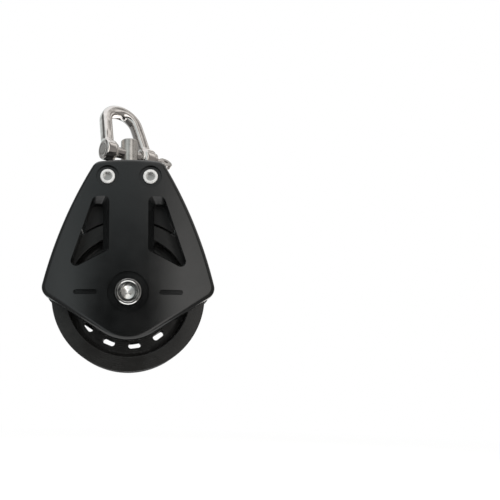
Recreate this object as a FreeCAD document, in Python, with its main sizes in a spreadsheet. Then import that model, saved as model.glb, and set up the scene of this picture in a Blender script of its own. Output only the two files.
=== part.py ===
"""Single sheave block with a swivel shackle, for a 12 mm line.

The origin is the centre of the sheave. +Y runs along the axle from the front cheek to the
back one, +Z runs from the axle up to the swivel, and the line runs over the sheave in X.
All sizes are in millimetres.
"""
import FreeCAD, Part
import math
import os

import Sketcher
from FreeCAD import Placement, Rotation, Vector

# ---------------------------------------------------------------- driving sizes
SIZES = {
    # sheave
    "sheave_diameter": 75,
    "sheave_width": 17,
    "rim_band": 7.5,
    "rim_draft": 0.4,
    "rim_round": 0.4,
    "web_thickness": 9.6,
    "recess_round": 3.2,
    "groove_radius": 7.2,
    "groove_depth": 6.5,
    "hub_radius": 22.4,
    "hub_inset": 0.8,
    "slot_count": 12,
    "slot_circle_radius": 24.6,
    "slot_length": 6.2,
    "slot_width": 2.8,
    "slot_phase": 8,
    # ball bearing
    "ball_diameter": 6,
    "ball_count": 15,
    "ball_circle_radius": 15.6,
    "ball_end_gap": 0.2,
    "ridge_gap": 0.3,
    "ridge_height": 1.2,
    "cover_thickness": 1,
    "cover_bore_radius": 13.6,
    "cover_screw_count": 6,
    "cover_screw_circle": 20.4,
    "cover_screw_radius": 0.8,
    "cover_screw_head": 1.5,
    "cover_screw_length": 6,
    # clearances
    "ball_gap": 0.06,
    "running_gap": 0.05,
    "fastener_gap": 0.1,
    "end_gap": 0.1,
    "pocket_gap": 0.15,
    "side_gap": 0.6,
    # axle
    "axle_bolt_radius": 4,
    "axle_sleeve_radius": 5.6,
    "axle_head_lip": 0.65,
    "axle_head_height": 3.4,
    "axle_head_recess": 0.4,
    "axle_washer": 1.2,
    "axle_seat_wall": 3.2,
    "axle_socket": 7,
    "axle_socket_depth": 2.4,
    "axle_dish_radius": 10,
    "axle_dish_depth": 1,
    # straps
    "strap_thickness": 2,
    "strap_half_width": 9.6,
    "strap_end_radius": 22.6,
    "strap_head_half_width": 15.2,
    "strap_neck_rise": 11,
    "strap_shoulder_rise": 16,
    # cheeks
    "cheek_thickness": 8.5,
    "cheek_top_rise": 27.9,
    "cheek_top_half_width": 16.8,
    "cheek_top_radius": 130,
    "cheek_corner_reach": 4.9,
    "cheek_corner_z": 0.2,
    "cheek_side_radius": 217,
    "cheek_bottom_radius": 22.7,
    "cheek_corner_round": 5.5,
    "cheek_edge_round": 2.2,
    "crown_radius": 320,
    "window_inner_x": 12.5,
    "window_outer_x": 29.2,
    "window_tip_x": 17.9,
    "window_top": 44.5,
    "window_inner_z": 20.4,
    "window_outer_z": 10.6,
    "window_bevel_depth": 4,
    "window_bevel_inner": 3.2,
    "window_bevel_side": 0.7,
    "window_bevel_top": 3,
    "window_bevel_foot": 1.3,
    "window_inner_round": 1.5,
    "window_outer_round": 2.6,
    "window_mouth_round": 3,
    "mark_x": 20.5,
    "mark_length": 11.2,
    "mark_width": 2.4,
    "mark_depth": 0.9,
    # head of the block
    "head_top_rise": 25.3,
    "head_top_half_width": 15,
    "head_foot_x": 21.5,
    "line_room": 6,
    "line_guard_gap": 0.6,
    "line_guard_wall": 2.1,
    "nut_cavity_radius": 7.2,
    "nut_cavity_rise": 15.5,
    "screw_x": 10.5,
    "screw_rise": 19.9,
    "screw_radius": 2,
    "screw_head_lip": 1.6,
    "screw_head_height": 3,
    "screw_seat_wall": 3.5,
    "screw_socket": 4,
    "screw_socket_depth": 2.2,
    "screw_dish_radius": 5.6,
    "screw_dish_depth": 1.1,
    "screw_end_recess": 0.8,
    "head_sleeve_wall": 1.1,
    "nut_slot_width": 1.4,
    "nut_slot_depth": 1,
    # swivel
    "post_radius": 4.45,
    "post_neck_radius": 3.5,
    "post_rise": 20.3,
    "post_top_round": 0.8,
    "bush_wall": 1.2,
    "bush_flange_radius": 5.8,
    "bush_flange": 1.2,
    "thrust_washer_thickness": 1,
    "post_nut_radius": 6.4,
    "post_nut_height": 5.4,
    "post_nut_pin_radius": 1,
    # shackle
    "swivel_angle": 31,
    "lean_angle": 19.7,
    "pin_rise": 12.6,
    "pin_radius": 2.75,
    "shackle_slide": -1,
    "bow_half_spacing": 11.7,
    "bow_height": 29.1,
    "bow_taper": 0.106,
    "bow_bar_inner": 6.1,
    "bow_bar_outer": 6,
    "bow_bar_round": 1.9,
    "eye_radius": 5.4,
    "eye_thickness": 6.3,
    "eye_round": 0.9,
    "eye_boss_radius": 4.4,
    "eye_boss_height": 1.2,
    "pin_collar_radius": 4,
    "pin_collar": 1.5,
    "pin_collar_gap": 0.2,
    "pin_neck_radius": 1.9,
    "pin_tab_distance": 23.6,
    "pin_tab_radius": 3.8,
    "pin_tab_turn": 20,
    "pin_tab_thickness": 2.6,
    "pin_tab_hole_radius": 1.2,
}

doc = FreeCAD.newDocument("SheaveBlock")
sheet = doc.addObject("Spreadsheet::Sheet", "Sizes")


class Size:
    """A length that knows its value and the spreadsheet expression that gives it."""

    def __init__(self, value, text):
        self.value = value
        self.text = text

    def __add__(self, other):
        return Size(self.value + number(other), f"({self.text} + {text_of(other)})")

    def __radd__(self, other):
        return Size(number(other) + self.value, f"({text_of(other)} + {self.text})")

    def __sub__(self, other):
        return Size(self.value - number(other), f"({self.text} - {text_of(other)})")

    def __rsub__(self, other):
        return Size(number(other) - self.value, f"({text_of(other)} - {self.text})")

    def __mul__(self, other):
        return Size(self.value * number(other), f"({self.text} * {text_of(other)})")

    def __rmul__(self, other):
        return Size(number(other) * self.value, f"({text_of(other)} * {self.text})")

    def __truediv__(self, other):
        return Size(self.value / number(other), f"({self.text} / {text_of(other)})")

    def __neg__(self):
        return Size(-self.value, f"(0 - {self.text})")


def number(size):
    """The plain value of a size or of a number."""
    return size.value if isinstance(size, Size) else float(size)


def text_of(size):
    """The expression of a size or of a number."""
    return size.text if isinstance(size, Size) else f"{float(size):.9g}"


def root(size):
    """The square root of a size, as a size."""
    return Size(math.sqrt(size.value), f"sqrt({size.text})")


def fill_sheet():
    """Write every driving size into the spreadsheet and return them by name."""
    named = {}
    for row, (alias, value) in enumerate(SIZES.items(), start=1):
        sheet.set(f"A{row}", alias)
        sheet.set(f"B{row}", str(value))
        sheet.setAlias(f"B{row}", alias)
        named[alias] = Size(float(value), f"Sizes.{alias}")
    doc.recompute()
    return named


s = fill_sheet()
ZERO = Size(0, "0")

# ---------------------------------------------------------------- sizes that follow
rim_radius = s["sheave_diameter"] / 2
recess_radius = rim_radius - s["rim_band"]
flange_y = s["sheave_width"] / 2
web_y = s["web_thickness"] / 2
hub_y = flange_y - s["hub_inset"]
groove_centre = rim_radius - s["groove_depth"] + s["groove_radius"]
lip_x = groove_centre - rim_radius
lip_y = root(s["groove_radius"] * s["groove_radius"] - lip_x * lip_x)
ball_radius = s["ball_diameter"] / 2
outer_race_radius = s["ball_circle_radius"] + ball_radius + s["ball_gap"]
inner_race_radius = s["ball_circle_radius"] - ball_radius - s["ball_gap"]
ball_row_y = hub_y - s["ball_end_gap"] - ball_radius
ridge_y = ball_row_y - ball_radius - s["ridge_gap"]

inner_y = flange_y + s["side_gap"]
strap_y = inner_y + s["strap_thickness"]
face_y = inner_y + s["cheek_thickness"]
axle_seat = strap_y + s["axle_seat_wall"]
axle_head_y = axle_seat + s["axle_washer"]
axle_face_y = axle_head_y + s["axle_head_height"]
axle_head_radius = s["axle_sleeve_radius"] + s["axle_head_lip"]
sleeve_bore = s["axle_sleeve_radius"] + s["running_gap"]
screw_hole = s["screw_radius"] + s["fastener_gap"]
head_sleeve_radius = screw_hole + s["head_sleeve_wall"]
screw_head_radius = s["screw_radius"] + s["screw_head_lip"]
screw_seat = strap_y + s["screw_seat_wall"]
screw_face_y = screw_seat + s["screw_head_height"]

cheek_corner_x = rim_radius + s["cheek_corner_reach"]
cheek_top = rim_radius + s["cheek_top_rise"]
strap_neck_z = rim_radius + s["strap_neck_rise"]
strap_shoulder_z = rim_radius + s["strap_shoulder_rise"]
screw_z = rim_radius + s["screw_rise"]
head_under_radius = rim_radius + s["line_room"]
head_top = rim_radius + s["head_top_rise"]
nut_cavity_top = rim_radius + s["nut_cavity_rise"]
post_top = head_top + s["post_rise"]
pin_z = head_top + s["pin_rise"]

bush_bore = s["post_neck_radius"] + s["running_gap"]
bush_radius = bush_bore + s["bush_wall"]
bush_top = head_top + s["bush_flange"]
shoulder_z = bush_top + s["end_gap"]
washer_top = nut_cavity_top - s["end_gap"] / 2
washer_foot = washer_top - s["thrust_washer_thickness"]
post_nut_top = washer_foot - s["end_gap"] / 2
post_nut_foot = post_nut_top - s["post_nut_height"]
eye_face_x = s["bow_half_spacing"] + s["eye_thickness"] / 2
eye_inner_x = s["bow_half_spacing"] - s["eye_thickness"] / 2
pin_bore = s["pin_radius"] + s["running_gap"]
FAR = 60


# ---------------------------------------------------------------- document helpers
def bind(thing, path, size):
    """Tie one property of a document object to the spreadsheet."""
    thing.setExpression(path, text_of(size))


def new_body(label):
    """An empty PartDesign body whose label names its file."""
    body = doc.addObject("PartDesign::Body", label)
    body.Label = label
    return body


def datum(body, role):
    """One of a body's own origin planes or axes."""
    return next(item for item in body.Origin.OriginFeatures if item.Role == role)


def sketch_on(body, plane, name, offset=0):
    """A sketch on an origin plane, moved along the plane's normal."""
    sketch = body.newObject("Sketcher::SketchObject", name)
    sketch.AttachmentSupport = [(datum(body, plane), "")]
    sketch.MapMode = "FlatFace"
    bind(sketch, "AttachmentOffset.Base.z", offset)
    return sketch


def hold(sketch, curve, point, axis, size):
    """Hold a point of a curve at a distance from the sketch's origin along X or Y."""
    value = number(size)
    if abs(value) < 1e-9:
        other_axis = -2 if axis == "X" else -1
        sketch.addConstraint(Sketcher.Constraint("PointOnObject", curve, point, other_axis))
        return
    kind = "Distance" + axis
    if value > 0:
        rule = Sketcher.Constraint(kind, -1, 1, curve, point, value)
    else:
        rule = Sketcher.Constraint(kind, curve, point, -1, 1, -value)
    index = sketch.addConstraint(rule)
    sketch.renameConstraint(index, f"{axis.lower()}_{curve}_{point}")
    bind(sketch, f"Constraints.{axis.lower()}_{curve}_{point}", size if value > 0 else -size)


def circle(sketch, x, y, radius):
    """A full circle with its centre and radius bound."""
    shape = Part.Circle(Vector(number(x), number(y), 0), Vector(0, 0, 1), number(radius))
    curve = sketch.addGeometry(shape, False)
    hold(sketch, curve, 3, "X", x)
    hold(sketch, curve, 3, "Y", y)
    index = sketch.addConstraint(Sketcher.Constraint("Radius", curve, number(radius)))
    sketch.renameConstraint(index, f"radius_{curve}")
    bind(sketch, f"Constraints.radius_{curve}", radius)


def arc_between(start, end, radius):
    """The short arc from start to end; a positive radius turns left, a negative one right."""
    chord = end - start
    side = 1 if radius > 0 else -1
    rise = math.sqrt(radius * radius - chord.Length * chord.Length / 4)
    normal = Vector(-chord.y, chord.x, 0).normalize() * side
    centre = (start + end) * 0.5 + normal * rise
    first, last = (start, end) if radius > 0 else (end, start)
    begin = math.atan2(first.y - centre.y, first.x - centre.x)
    finish = math.atan2(last.y - centre.y, last.x - centre.x)
    return Part.ArcOfCircle(Part.Circle(centre, Vector(0, 0, 1), abs(radius)), begin, finish)


def outline(sketch, corners, closed=True):
    """Lines and arcs through corners; a third value is the radius of the arc that follows."""
    count = len(corners)
    spans = count if closed else count - 1
    ends = []
    for i in range(spans):
        here = corners[i]
        after = corners[(i + 1) % count]
        start = Vector(number(here[0]), number(here[1]), 0)
        end = Vector(number(after[0]), number(after[1]), 0)
        if len(here) == 3:
            curve = sketch.addGeometry(arc_between(start, end, number(here[2])), False)
            turns_left = number(here[2]) > 0
            ends.append((curve, 1, 2) if turns_left else (curve, 2, 1))
            index = sketch.addConstraint(Sketcher.Constraint("Radius", curve, abs(number(here[2]))))
            sketch.renameConstraint(index, f"radius_{curve}")
            bind(sketch, f"Constraints.radius_{curve}", here[2] if turns_left else -here[2])
        else:
            curve = sketch.addGeometry(Part.LineSegment(start, end), False)
            ends.append((curve, 1, 2))
    for i in range(spans):
        curve, first, last = ends[i]
        if closed or i + 1 < spans:
            following, following_first, _ = ends[(i + 1) % spans]
            rule = Sketcher.Constraint("Coincident", curve, last, following, following_first)
            sketch.addConstraint(rule)
        hold(sketch, curve, first, "X", corners[i][0])
        hold(sketch, curve, first, "Y", corners[i][1])
    if not closed:
        curve, _, last = ends[-1]
        hold(sketch, curve, last, "X", corners[-1][0])
        hold(sketch, curve, last, "Y", corners[-1][1])


def rounded_outline(sketch, corners):
    """A polygon through corners held by points, with a tangent arc of its own at each corner."""
    count = len(corners)
    spots = [Vector(number(x), number(y), 0) for x, y, _ in corners]
    arcs = []
    for i, spot in enumerate(spots):
        size = number(corners[i][2])
        before = (spots[i - 1] - spot).normalize()
        after = (spots[(i + 1) % count] - spot).normalize()
        half_angle = before.getAngle(after) / 2
        reach = size / math.tan(half_angle)
        turns_left = before.cross(after).z < 0
        start, end = spot + before * reach, spot + after * reach
        arcs.append((start, end, arc_between(start, end, size if turns_left else -size), turns_left))
    lines = [sketch.addGeometry(Part.LineSegment(arcs[i][1], arcs[(i + 1) % count][0]), False)
             for i in range(count)]
    for i, (_, _, shape, turns_left) in enumerate(arcs):
        arc = sketch.addGeometry(shape, False)
        first, last = (1, 2) if turns_left else (2, 1)
        sketch.addConstraint(Sketcher.Constraint("Tangent", lines[i - 1], 2, arc, first))
        sketch.addConstraint(Sketcher.Constraint("Tangent", arc, last, lines[i], 1))
        index = sketch.addConstraint(Sketcher.Constraint("Radius", arc, number(corners[i][2])))
        sketch.renameConstraint(index, f"radius_{arc}")
        bind(sketch, f"Constraints.radius_{arc}", corners[i][2])
        corner = sketch.addGeometry(Part.Point(spots[i]), True)
        sketch.addConstraint(Sketcher.Constraint("PointOnObject", corner, 1, lines[i - 1]))
        sketch.addConstraint(Sketcher.Constraint("PointOnObject", corner, 1, lines[i]))
        hold(sketch, corner, 1, "X", corners[i][0])
        hold(sketch, corner, 1, "Y", corners[i][1])


def slot_outline(sketch, x, y, length, width):
    """A slot with round ends, lying along the sketch's X axis."""
    reach = length / 2 - width / 2
    round_end = width / 2
    outline(sketch, [
        (x - reach, y - round_end), (x + reach, y - round_end, round_end), (x + length / 2, y, round_end),
        (x + reach, y + round_end), (x - reach, y + round_end, round_end), (x - length / 2, y, round_end)])


def polygon_points(centre_x, centre_y, flats, sides=6):
    """Corners of a regular polygon with a flat at its top."""
    reach = flats / (2 * math.cos(math.pi / sides))
    corners = []
    for i in range(sides):
        angle = math.pi * (2 * i + 1) / sides - math.pi / 2
        across = reach * round(math.cos(angle), 12)
        up = reach * round(math.sin(angle), 12)
        corners.append((centre_x + across, centre_y + up))
    return corners


def pad(body, sketch, length, against=False, middle=False):
    """Pad a sketch along its normal, against it, or to both sides."""
    feature = body.newObject("PartDesign::Pad", sketch.Name + "_pad")
    feature.Profile = sketch
    bind(feature, "Length", length)
    feature.Reversed = against
    feature.Midplane = middle
    body.Tip = feature
    return feature


def pocket(body, sketch, length=None, along=False):
    """Cut a sketch through everything, or by a length against or along its normal."""
    doc.recompute()
    before = body.Shape.Volume
    feature = body.newObject("PartDesign::Pocket", sketch.Name + "_pocket")
    feature.Profile = sketch
    if length is None:
        feature.Type = "ThroughAll"
        feature.Midplane = True
    else:
        bind(feature, "Length", length)
        feature.Reversed = along
    body.Tip = feature
    settle(feature)
    if not body.Shape.Volume < before - 1e-6:
        raise RuntimeError(f"{feature.Name} cuts nothing")
    return feature


def settle(feature):
    """Recompute, and stop at once if a feature failed."""
    doc.recompute()
    if "Invalid" in feature.State or "Error" in feature.State or feature.Shape.isNull():
        raise RuntimeError(f"{feature.Name} failed")


def revolve(body, sketch, axis="V_Axis", cut=False):
    """Turn a sketch round one of its own axes, as material or as a cut."""
    kind = "PartDesign::Groove" if cut else "PartDesign::Revolution"
    feature = body.newObject(kind, sketch.Name + "_turned")
    feature.Profile = sketch
    feature.ReferenceAxis = (sketch, [axis])
    feature.Angle = 360
    body.Tip = feature
    return feature


def polar(body, original, axis, count):
    """Repeat a feature evenly round one of the body's axes."""
    feature = body.newObject("PartDesign::PolarPattern", original.Name + "_ring")
    feature.Originals = [original]
    feature.Axis = (datum(body, axis), [""])
    feature.Angle = 360
    bind(feature, "Occurrences", count)
    body.Tip = feature
    return feature


def round_edges(body, test, radius):
    """Fillet every edge of a body that passes a test."""
    doc.recompute()
    base = body.Tip
    names = [f"Edge{i}" for i, edge in enumerate(base.Shape.Edges, start=1) if test(edge)]
    if not names:
        raise RuntimeError(f"no edge of {body.Label} to round")
    feature = body.newObject("PartDesign::Fillet", f"{body.Name}_round_{len(body.Group)}")
    feature.Base = (base, names)
    bind(feature, "Radius", radius)
    body.Tip = feature
    settle(feature)
    return feature


def middle_of(edge):
    """The point half way along an edge."""
    return edge.valueAt((edge.FirstParameter + edge.LastParameter) / 2)


def along_y(edge):
    """Whether an edge is a straight line in Y."""
    if edge.Curve.TypeId != "Part::GeomLine":
        return False
    return abs(edge.tangentAt(edge.FirstParameter).y) > 0.999


def mirrored(source, label):
    """The same piece on the other side of the block's middle plane."""
    copy = doc.addObject("Part::Mirroring", label)
    copy.Label = label
    copy.Source = source
    copy.Normal = Vector(0, 1, 0)
    return copy


# ---------------------------------------------------------------- sheave and bearing
def make_sheave():
    """The grooved wheel: rim bands, recessed web with slots, and the outer race."""
    body = new_body("sheave")
    ridge_radius = outer_race_radius - s["ridge_height"]
    recess_mouth = recess_radius + s["rim_draft"]
    turn = s["recess_round"]
    web_end = recess_radius - turn
    profile = sketch_on(body, "XY_Plane", "sheave_profile")
    outline(profile, [
        (ridge_radius, -ridge_y), (outer_race_radius, -ridge_y), (outer_race_radius, -hub_y),
        (s["hub_radius"], -hub_y), (s["hub_radius"], -web_y), (web_end, -web_y, -turn),
        (recess_radius, -web_y - turn),
        (recess_mouth, -flange_y), (rim_radius, -flange_y), (rim_radius, -lip_y, -s["groove_radius"]),
        (rim_radius, lip_y), (rim_radius, flange_y), (recess_mouth, flange_y),
        (recess_radius, web_y + turn, -turn), (web_end, web_y), (s["hub_radius"], web_y),
        (s["hub_radius"], hub_y),
        (outer_race_radius, hub_y), (outer_race_radius, ridge_y), (ridge_radius, ridge_y)])
    revolve(body, profile)

    def rim_edge(edge):
        return edge.Curve.TypeId == "Part::GeomCircle" and edge.Curve.Radius > number(recess_radius)

    round_edges(body, rim_edge, s["rim_round"])

    slot = sketch_on(body, "XZ_Plane", "web_slot")
    bind(slot, "AttachmentOffset.Rotation.Angle", s["slot_phase"])
    slot_outline(slot, ZERO, -s["slot_circle_radius"], s["slot_length"], s["slot_width"])
    polar(body, pocket(body, slot), "Y_Axis", s["slot_count"])

    holes = sketch_on(body, "XZ_Plane", "cover_screw_holes", hub_y - s["cover_screw_length"])
    circle(holes, ZERO, s["cover_screw_circle"], s["cover_screw_radius"])
    polar(body, pocket(body, holes, FAR, along=True), "Y_Axis", s["cover_screw_count"])
    back = sketch_on(body, "XZ_Plane", "back_cover_screw_holes", s["cover_screw_length"] - hub_y)
    circle(back, ZERO, s["cover_screw_circle"], s["cover_screw_radius"])
    polar(body, pocket(body, back, FAR), "Y_Axis", s["cover_screw_count"])
    return body


def make_ball_cover():
    """The ring that keeps the front row of balls in the sheave."""
    body = new_body("front_ball_cover")
    ring = sketch_on(body, "XZ_Plane", "cover_ring", hub_y)
    circle(ring, 0, 0, s["hub_radius"])
    circle(ring, 0, 0, s["cover_bore_radius"])
    pad(body, ring, s["cover_thickness"])
    seat = sketch_on(body, "XZ_Plane", "cover_screw_seat", hub_y)
    circle(seat, ZERO, s["cover_screw_circle"], s["cover_screw_head"])
    polar(body, pocket(body, seat), "Y_Axis", s["cover_screw_count"])
    return body


def make_cover_screws():
    """The small flat-headed screws of both ball covers."""
    body = new_body("cover_screws")
    for side, against in (("front", False), ("back", True)):
        sign = -1 if against else 1
        shank = sketch_on(body, "XZ_Plane", side + "_cover_shank",
                          (hub_y - s["cover_screw_length"]) * sign)
        circle(shank, ZERO, s["cover_screw_circle"], s["cover_screw_radius"])
        polar(body, pad(body, shank, s["cover_screw_length"], against), "Y_Axis",
              s["cover_screw_count"])
        head = sketch_on(body, "XZ_Plane", side + "_cover_head", hub_y * sign)
        circle(head, ZERO, s["cover_screw_circle"], s["cover_screw_head"])
        polar(body, pad(body, head, s["cover_thickness"], against), "Y_Axis",
              s["cover_screw_count"])
    return body


def make_balls():
    """The front row of balls."""
    body = new_body("front_balls")
    ball = body.newObject("PartDesign::AdditiveSphere", "front_ball")
    bind(ball, "Radius", ball_radius)
    bind(ball, "Placement.Base.x", s["ball_circle_radius"])
    bind(ball, "Placement.Base.y", -ball_row_y)
    polar(body, ball, "Y_Axis", s["ball_count"])
    return body


def make_inner_race():
    """The race on the axle, clamped between the straps."""
    body = new_body("inner_race")
    ridge_radius = inner_race_radius + s["ridge_height"]
    profile = sketch_on(body, "XY_Plane", "race_profile")
    outline(profile, [
        (sleeve_bore, -inner_y), (inner_race_radius, -inner_y), (inner_race_radius, -ridge_y),
        (ridge_radius, -ridge_y), (ridge_radius, ridge_y), (inner_race_radius, ridge_y),
        (inner_race_radius, inner_y), (sleeve_bore, inner_y)])
    revolve(body, profile)
    return body


# ---------------------------------------------------------------- axle
def make_axle_sleeve():
    """The hollow axle through straps, cheeks and inner race."""
    body = new_body("axle_sleeve")
    tube = sketch_on(body, "XZ_Plane", "sleeve_ring")
    circle(tube, 0, 0, s["axle_sleeve_radius"])
    circle(tube, 0, 0, s["axle_bolt_radius"] + s["running_gap"])
    pad(body, tube, axle_seat * 2, middle=True)
    return body


def make_axle_bolt():
    """The axle bolt: stepped head with a hexagon socket, and a plain shank."""
    body = new_body("axle_bolt")
    radius = axle_head_radius
    step = s["axle_head_recess"]
    end_y = axle_face_y - step * 2
    bevel = s["axle_head_recess"]
    profile = sketch_on(body, "XY_Plane", "bolt_profile")
    outline(profile, [
        (0, -axle_face_y + step), (radius * 0.78, -axle_face_y + step), (radius * 0.84, -axle_face_y),
        (radius - bevel, -axle_face_y), (radius, -axle_face_y + bevel), (radius, -axle_head_y),
        (s["axle_bolt_radius"], -axle_head_y), (s["axle_bolt_radius"], end_y - bevel),
        (s["axle_bolt_radius"] - bevel, end_y), (0, end_y)])
    revolve(body, profile)
    socket = sketch_on(body, "XZ_Plane", "bolt_socket", axle_face_y - s["axle_socket_depth"])
    outline(socket, polygon_points(ZERO, ZERO, s["axle_socket"]))
    pocket(body, socket, FAR, along=True)
    drill = sketch_on(body, "XY_Plane", "bolt_drill_point")
    floor_y = axle_face_y - s["axle_socket_depth"]
    outline(drill, [(0, -floor_y), (s["axle_socket"] * 0.46, -floor_y),
                    (0, -floor_y + s["axle_socket"] * 0.26)])
    revolve(body, drill, cut=True)
    return body


def make_axle_nut():
    """The round nut at the back, with two slots for its wrench."""
    body = new_body("axle_nut")
    radius = axle_head_radius
    bevel = s["axle_head_recess"]
    profile = sketch_on(body, "XY_Plane", "axle_nut_profile")
    outline(profile, [
        (s["axle_bolt_radius"], axle_head_y), (radius, axle_head_y), (radius, axle_face_y - bevel),
        (radius - bevel, axle_face_y), (s["axle_bolt_radius"], axle_face_y)])
    revolve(body, profile)
    cut_slot(body, "axle_nut_slot", [(0, 0)], radius, axle_face_y,
             s["nut_slot_width"] * 1.6, s["nut_slot_depth"])
    return body


def cut_slot(body, name, places, reach, top_y, width, depth):
    """Cut a wrench slot across round nuts whose outer faces lie at top_y."""
    slots = sketch_on(body, "XZ_Plane", name, depth - top_y)
    for x, z in places:
        left = x - reach
        right = x + reach
        outline(slots, [(left, z - width / 2), (right, z - width / 2),
                        (right, z + width / 2), (left, z + width / 2)])
    pocket(body, slots, FAR)


def make_axle_washers():
    """One washer under the axle bolt's head and one under its nut."""
    body = new_body("axle_washers")
    for name, offset, against in (("front", axle_seat, False), ("back", -axle_seat, True)):
        ring = sketch_on(body, "XZ_Plane", name + "_axle_washer", offset)
        circle(ring, 0, 0, axle_head_radius)
        circle(ring, 0, 0, s["axle_bolt_radius"] + s["running_gap"])
        pad(body, ring, s["axle_washer"], against)
    return body


# ---------------------------------------------------------------- straps and cheeks
def strap_corners(gap):
    """The strap's outline, grown by a gap all round for the pocket that holds it."""
    half = s["strap_half_width"] + gap
    head_half = s["strap_head_half_width"] + gap
    end = s["strap_end_radius"] + gap
    foot = -root(end * end - half * half)
    top = head_top + gap
    return [(half, foot), (half, strap_neck_z), (head_half, strap_shoulder_z),
            (head_half, top), (-head_half, top), (-head_half, strap_shoulder_z),
            (-half, strap_neck_z), (-half, foot, end)]


def make_strap():
    """The steel strap that carries the load from the axle to the head screws."""
    body = new_body("front_strap")
    plate = sketch_on(body, "XZ_Plane", "strap_plate", inner_y)
    outline(plate, strap_corners(ZERO))
    pad(body, plate, s["strap_thickness"])
    holes = sketch_on(body, "XZ_Plane", "strap_holes")
    circle(holes, 0, 0, sleeve_bore)
    circle(holes, s["screw_x"], screw_z, screw_hole)
    circle(holes, -s["screw_x"], screw_z, screw_hole)
    pocket(body, holes)
    return body


def cheek_corners():
    """The cheek's outline: straight lower edges that run off a round about the axle."""
    x = cheek_corner_x
    z = s["cheek_corner_z"]
    round_radius = s["cheek_bottom_radius"]
    far = x * x + z * z
    near = round_radius * round_radius
    along = near / far
    across = round_radius * root(far - near) / far
    foot_x = x * along + z * across
    foot_z = z * along - x * across
    top_x = s["cheek_top_half_width"]
    top = cheek_top
    side = s["cheek_side_radius"]
    return [(foot_x, foot_z), (x, z, side), (top_x, top, s["cheek_top_radius"]),
            (-top_x, top, side), (-x, z), (-foot_x, foot_z, round_radius)]


def window_corners(side, grown):
    """A window's outline in the cheek's wall, or its larger outline at the face."""
    inner = s["window_bevel_inner"] if grown else ZERO
    wide = s["window_bevel_side"] if grown else ZERO
    top = s["window_bevel_top"] if grown else ZERO
    foot = s["window_bevel_foot"] if grown else ZERO
    tight = s["window_inner_round"]
    loose = s["window_outer_round"]
    turn = s["window_mouth_round"]
    corners = [(s["window_inner_x"] - inner, s["window_top"] + top, turn if grown else tight),
               (s["window_inner_x"] - inner, s["window_inner_z"], tight),
               (s["window_outer_x"] + wide, s["window_outer_z"] - foot, loose),
               (s["window_tip_x"] - wide, s["window_top"] + top, turn if grown else loose)]
    return [(x * side, z, turn) for x, z, turn in corners]


def cut_window(body, name, side):
    """Cut one window: a straight hole, then its sloping bevel at the face."""
    hole = sketch_on(body, "XZ_Plane", name + "_hole", inner_y)
    rounded_outline(hole, window_corners(side, False))
    pocket(body, hole)
    floor = sketch_on(body, "XZ_Plane", name + "_floor", face_y - s["window_bevel_depth"])
    rounded_outline(floor, window_corners(side, False))
    mouth = sketch_on(body, "XZ_Plane", name + "_mouth", face_y)
    rounded_outline(mouth, window_corners(side, True))
    bevel = body.newObject("PartDesign::SubtractiveLoft", name + "_bevel")
    bevel.Profile = floor
    bevel.Sections = [mouth]
    bevel.Ruled = True
    body.Tip = bevel
    settle(bevel)


def make_cheek():
    """The moulded front cheek: crowned face, windows, recesses and a pocket for the strap."""
    body = new_body("front_cheek")
    plate = sketch_on(body, "XZ_Plane", "cheek_plate", inner_y)
    outline(plate, cheek_corners())
    pad(body, plate, s["cheek_thickness"])
    round_edges(body, along_y_at_corner, s["cheek_corner_round"])

    crown = sketch_on(body, "XY_Plane", "cheek_crown")
    reach = cheek_corner_x + s["cheek_thickness"]
    sag = s["crown_radius"] - root(s["crown_radius"] * s["crown_radius"] - reach * reach)
    outline(crown, [(-reach, sag - face_y, s["crown_radius"]), (reach, sag - face_y),
                    (reach, -face_y - s["cheek_thickness"]), (-reach, -face_y - s["cheek_thickness"])])
    pocket(body, crown)
    crown_face = next(face for face in body.Shape.Faces if is_crown(face))
    rim = [edge.CenterOfMass for edge in crown_face.Edges]
    round_edges(body, lambda edge: any((edge.CenterOfMass - spot).Length < 1e-5 for spot in rim),
                s["cheek_edge_round"])

    cut_window(body, "right_window", 1)
    cut_window(body, "left_window", -1)

    strap_pocket = sketch_on(body, "XZ_Plane", "strap_pocket", strap_y)
    outline(strap_pocket, strap_corners(s["pocket_gap"]))
    pocket(body, strap_pocket, FAR)

    dishes = sketch_on(body, "XZ_Plane", "axle_dish", face_y - s["axle_dish_depth"])
    circle(dishes, 0, 0, s["axle_dish_radius"])
    pocket(body, dishes, FAR, along=True)
    seat = sketch_on(body, "XZ_Plane", "axle_seat", axle_seat)
    circle(seat, 0, 0, axle_head_radius + s["axle_head_recess"])
    pocket(body, seat, FAR, along=True)
    bore = sketch_on(body, "XZ_Plane", "axle_bore")
    circle(bore, 0, 0, sleeve_bore)
    pocket(body, bore)

    levels = (("screw_dish", face_y - s["screw_dish_depth"], s["screw_dish_radius"]),
              ("screw_seat", screw_seat, screw_head_radius + s["fastener_gap"]),
              ("screw_bore", inner_y, screw_hole))
    for name, floor_y, radius in levels:
        ring = sketch_on(body, "XZ_Plane", name, floor_y)
        circle(ring, s["screw_x"], screw_z, radius)
        circle(ring, -s["screw_x"], screw_z, radius)
        pocket(body, ring, FAR, along=True)

    marks = sketch_on(body, "XZ_Plane", "cheek_marks", mark_floor_y())
    slot_outline(marks, s["mark_x"], ZERO, s["mark_length"], s["mark_width"])
    slot_outline(marks, -s["mark_x"], ZERO, s["mark_length"], s["mark_width"])
    pocket(body, marks, FAR, along=True)
    return body


def mark_floor_y():
    """How far out the floor of the side marks lies under the crowned face."""
    crown = s["crown_radius"]
    sag = crown - root(crown * crown - s["mark_x"] * s["mark_x"])
    return face_y - sag - s["mark_depth"]


def along_y_at_corner(edge):
    """One of the four upright corner edges of the cheek's plate."""
    if not along_y(edge):
        return False
    spot = middle_of(edge)
    near_top = abs(spot.z - number(cheek_top)) < 0.01
    near_corner = abs(abs(spot.x) - number(cheek_corner_x)) < 0.01
    return near_top or near_corner


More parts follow.
